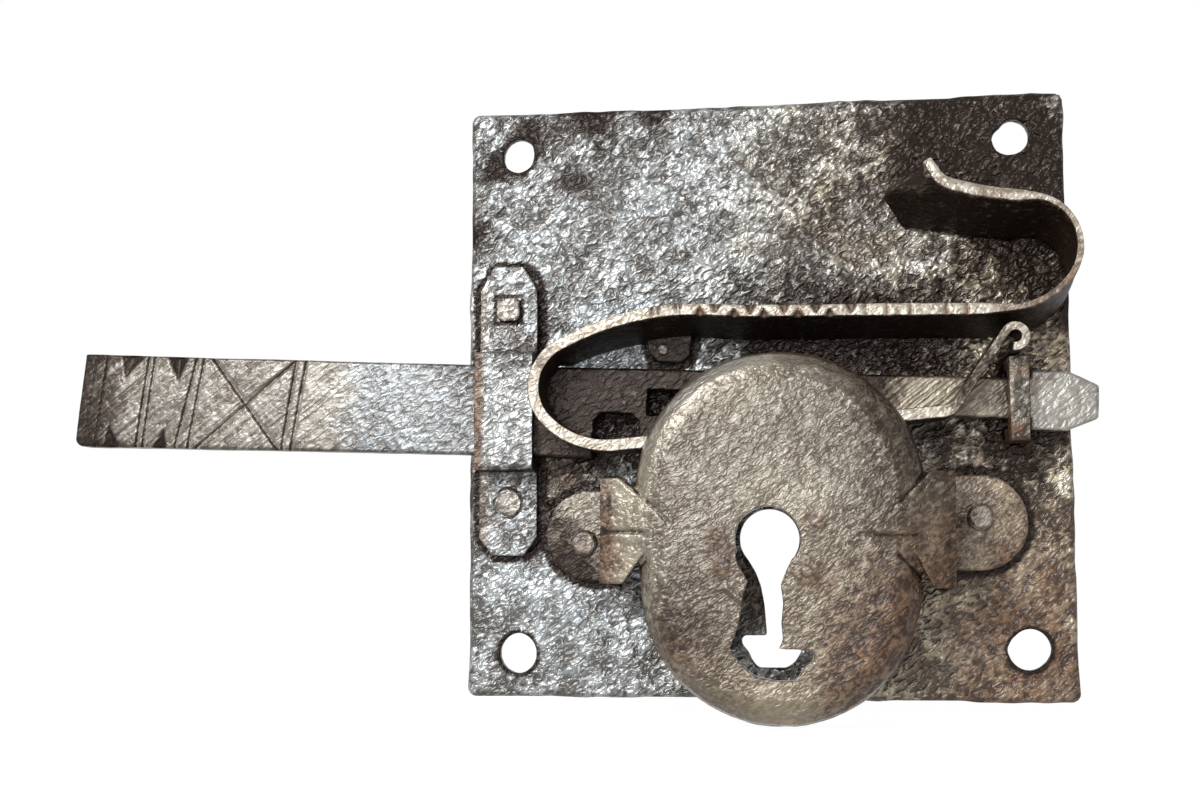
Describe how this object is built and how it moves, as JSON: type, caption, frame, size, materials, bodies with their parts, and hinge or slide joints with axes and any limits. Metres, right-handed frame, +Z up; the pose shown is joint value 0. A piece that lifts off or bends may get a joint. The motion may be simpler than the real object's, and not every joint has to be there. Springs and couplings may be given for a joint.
{
  "type": "door lock",
  "caption": "Square forged plate lock with a long sliding bolt, a bent leaf spring and a dished oval key cap on two riveted lugs.",
  "frame": {"origin": "centre of the back plate's back face, where the lock lies on the door", "axes": "+X to the right along the plate and the bolt's travel, +Z up, the lock's front faces -Y, +Y into the door"},
  "size_m": [0.2578, 0.0305, 0.1537],
  "materials": {
    "plate_iron": "forged, pitted and oiled",
    "bolt_iron": "filed and chiselled",
    "strap_iron": "hammered",
    "staple_iron": "forged, browned",
    "cap_iron": "hammered, browned",
    "ward_iron": "dark forged",
    "spring_steel": "dark forged, bright front edge",
    "rivet_iron": "hammered flat"
  },
  "bodies": {
    "lock_body": {"back_plate": "plate_iron", "guide_strap": "strap_iron", "guide_rivet_upper": "rivet_iron", "guide_rivet_lower": "rivet_iron", "tail_staple": "staple_iron", "lock_cap": "cap_iron", "cap_rivet_left": "rivet_iron", "cap_rivet_right": "rivet_iron", "ward_left": "ward_iron", "ward_right": "ward_iron", "lock_spring": "spring_steel", "spring_rivet": "rivet_iron"},
    "bolt": {"bolt": "bolt_iron"}
  },
  "joints": [
    {"name": "bolt_slide", "type": "slide", "parent": "lock_body", "child": "bolt", "axis": [0.9992, 0, -0.0401], "range_m": [0, 0.05], "deforming": ["lock_spring"]}
  ]
}
